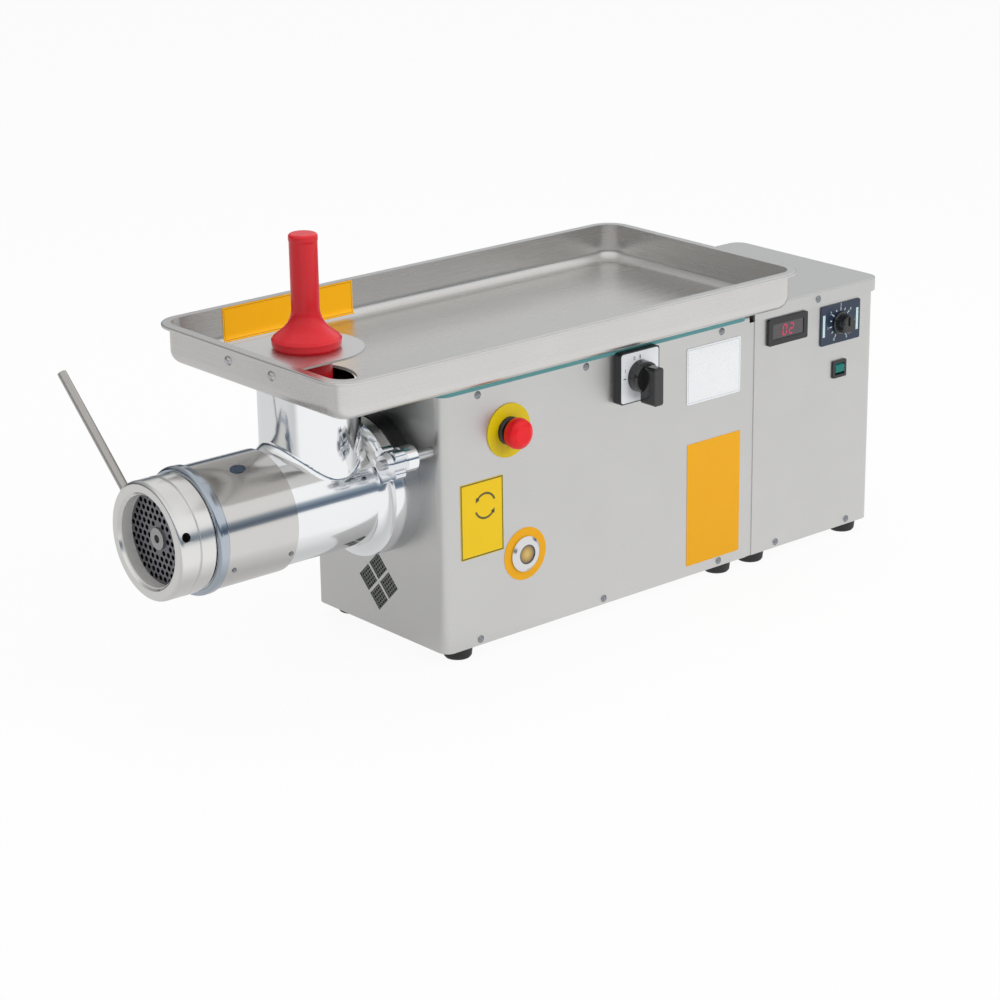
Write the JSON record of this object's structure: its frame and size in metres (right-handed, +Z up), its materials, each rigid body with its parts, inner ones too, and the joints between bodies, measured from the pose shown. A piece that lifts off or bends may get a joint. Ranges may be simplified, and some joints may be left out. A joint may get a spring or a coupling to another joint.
{
  "type": "electric meat grinder",
  "caption": "Bench meat grinder with a horizontal worm head, deep feed tray with guard and pusher, long steel casing with motor and gears, and a separate cooling unit behind.",
  "frame": {"origin": "middle of the overall base, at the feet's contact plane", "axes": "+X from the mouth of the head towards the cooling unit, -Y towards the control side, +Z up"},
  "size_m": [0.886, 0.298, 0.4275],
  "materials": {
    "casing_steel": "fine brushed stainless sheet",
    "tray_steel": "smooth stainless sheet",
    "screw_steel": "bright zinc",
    "polished_aluminium": "polished casting",
    "barrel_steel": "satin turned steel",
    "bar_steel": "plain rod",
    "tool_steel": "ground tool steel",
    "worm_iron": "tinned casting",
    "machined_steel": "turned and hobbed",
    "bearing_steel": "ground",
    "rotor_steel": "laminated",
    "gear_case": "as cast",
    "winding": "varnished",
    "red_plastic": "moulded",
    "cap_red": "moulded",
    "yellow_label": "printed film",
    "orange_label": "printed film",
    "silver_label": "printed foil",
    "black_rubber": "moulded",
    "seal": "extruded",
    "black_plastic": "moulded",
    "dial_blue": "printed",
    "knob_black": "moulded",
    "stem_steel": "turned",
    "green_plastic": "translucent",
    "bezel_chrome": "turned",
    "oil_glass": "clear with oil behind",
    "grille_metal": "dark",
    "clamp_chrome": "polished",
    "compressor_black": "enamel",
    "condenser_fins": "plain",
    "copper": "drawn tube"
  },
  "bodies": {
    "machine": {"front_shell": "casing_steel", "front_base": "casing_steel", "rear_shell": "casing_steel", "rear_base": "casing_steel", "rear_lid": "casing_steel", "feet": "black_rubber", "casing_screws": "screw_steel", "tray_seal": "seal", "head_casting": "polished_aluminium", "barrel_sleeve": "barrel_steel", "barrel_ring": "barrel_steel", "mincing_plate": "tool_steel", "plate_key": "tool_steel", "clamp_studs": "screw_steel", "cooling_collar": "black_plastic", "gearbox_housing": "gear_case", "gearbox_cover": "gear_case", "gearbox_bearings": "bearing_steel", "motor_frame": "gear_case", "stator": "winding", "motor_bearings": "bearing_steel", "contactor": "black_plastic", "compressor": "compressor_black", "condenser": "condenser_fins", "condenser_fan_motor": "compressor_black", "refrigerant_lines": "copper", "cable_gland": "black_plastic", "estop_plate": "yellow_label", "estop_collar": "black_plastic", "switch_box": "black_plastic", "orange_labels": "orange_label", "rating_plate": "silver_label", "sight_glass_bezel": "bezel_chrome", "sight_glass_lens": "oil_glass", "display_case": "black_plastic", "thermostat_case": "dial_blue", "rocker_frame": "black_plastic", "vent_grille": "grille_metal"},
    "ring_nut": {"ring_nut": "barrel_steel"},
    "tommy_bar": {"tommy_bar": "bar_steel"},
    "motor": {"motor_rotor": "rotor_steel", "motor_fan": "black_plastic"},
    "layshaft": {"layshaft": "machined_steel", "layshaft_gear": "machined_steel"},
    "drive_output": {"output_shaft": "machined_steel", "output_gear": "machined_steel", "auger": "worm_iron", "knife": "tool_steel"},
    "near_clamp_nut": {"near_clamp_nut": "clamp_chrome"},
    "far_clamp_nut": {"far_clamp_nut": "clamp_chrome"},
    "estop_stem": {"estop_stem": "stem_steel"},
    "estop_cap": {"estop_cap": "cap_red"},
    "switch_knob": {"switch_knob": "black_plastic"},
    "thermostat_knob": {"thermostat_knob": "knob_black"},
    "rocker": {"rocker": "green_plastic"},
    "tray": {"tray": "tray_steel", "feed_guard": "tray_steel", "guard_screws": "screw_steel"},
    "pusher": {"pusher": "red_plastic"},
    "condenser_fan": {"condenser_fan": "black_plastic"}
  },
  "joints": [
    {"name": "nut_turn", "type": "hinge", "parent": "machine", "child": "ring_nut", "pos_m": [-0.443, -0.003, 0.169], "axis": [-1, 0, 0], "range_deg": [0, 90]},
    {"name": "bar_pull", "type": "slide", "parent": "ring_nut", "child": "tommy_bar", "axis": [0, 0.7314, 0.682], "range_m": [0, 0.06]},
    {"name": "motor_spin", "type": "hinge", "parent": "machine", "child": "motor", "pos_m": [-0.037, -0.025, 0.1], "axis": [1, 0, 0], "continuous": true},
    {"name": "layshaft_spin", "type": "hinge", "parent": "machine", "child": "layshaft", "pos_m": [-0.037, 0.03158, 0.11997], "axis": [1, 0, 0], "continuous": true},
    {"name": "worm_spin", "type": "hinge", "parent": "machine", "child": "drive_output", "pos_m": [-0.175, -0.003, 0.169], "axis": [1, 0, 0], "continuous": true},
    {"name": "near_clamp_turn", "type": "hinge", "parent": "machine", "child": "near_clamp_nut", "pos_m": [-0.234, -0.0905, 0.2175], "axis": [-1, 0, 0], "range_deg": [0, 360]},
    {"name": "far_clamp_turn", "type": "hinge", "parent": "machine", "child": "far_clamp_nut", "pos_m": [-0.234, 0.0845, 0.2175], "axis": [-1, 0, 0], "range_deg": [0, 360]},
    {"name": "estop_press", "type": "slide", "parent": "machine", "child": "estop_stem", "axis": [0, 1, 0], "range_m": [0, 0.004], "stiffness_N_per_m": 600},
    {"name": "estop_twist", "type": "hinge", "parent": "estop_stem", "child": "estop_cap", "pos_m": [-0.0924, -0.1065, 0.225], "axis": [0, 1, 0], "range_deg": [0, 30], "stiffness_Nm_per_rad": 0.05},
    {"name": "switch_turn", "type": "hinge", "parent": "machine", "child": "switch_knob", "pos_m": [0.0724, -0.1065, 0.2485], "axis": [0, 1, 0], "range_deg": [0, 90]},
    {"name": "thermostat_turn", "type": "hinge", "parent": "machine", "child": "thermostat_knob", "pos_m": [0.372, -0.1065, 0.2445], "axis": [0, 1, 0], "range_deg": [0, 270]},
    {"name": "rocker_tip", "type": "hinge", "parent": "machine", "child": "rocker", "pos_m": [0.362, -0.1035, 0.1935], "axis": [1, 0, 0], "range_deg": [0, 18]},
    {"name": "tray_lift", "type": "slide", "parent": "machine", "child": "tray", "axis": [0, 0, 1], "range_m": [0, 0.12]},
    {"name": "pusher_lift", "type": "slide", "parent": "tray", "child": "pusher", "axis": [0, 0, 1], "range_m": [0, 0.11]},
    {"name": "condenser_fan_spin", "type": "hinge", "parent": "machine", "child": "condenser_fan", "pos_m": [0.379, 0.035, 0.12], "axis": [1, 0, 0], "continuous": true}
  ],
  "couplings": [
    {"joint": "layshaft_spin", "follows": "motor_spin", "ratio": -0.36364},
    {"joint": "worm_spin", "follows": "motor_spin", "ratio": 0.13223}
  ]
}
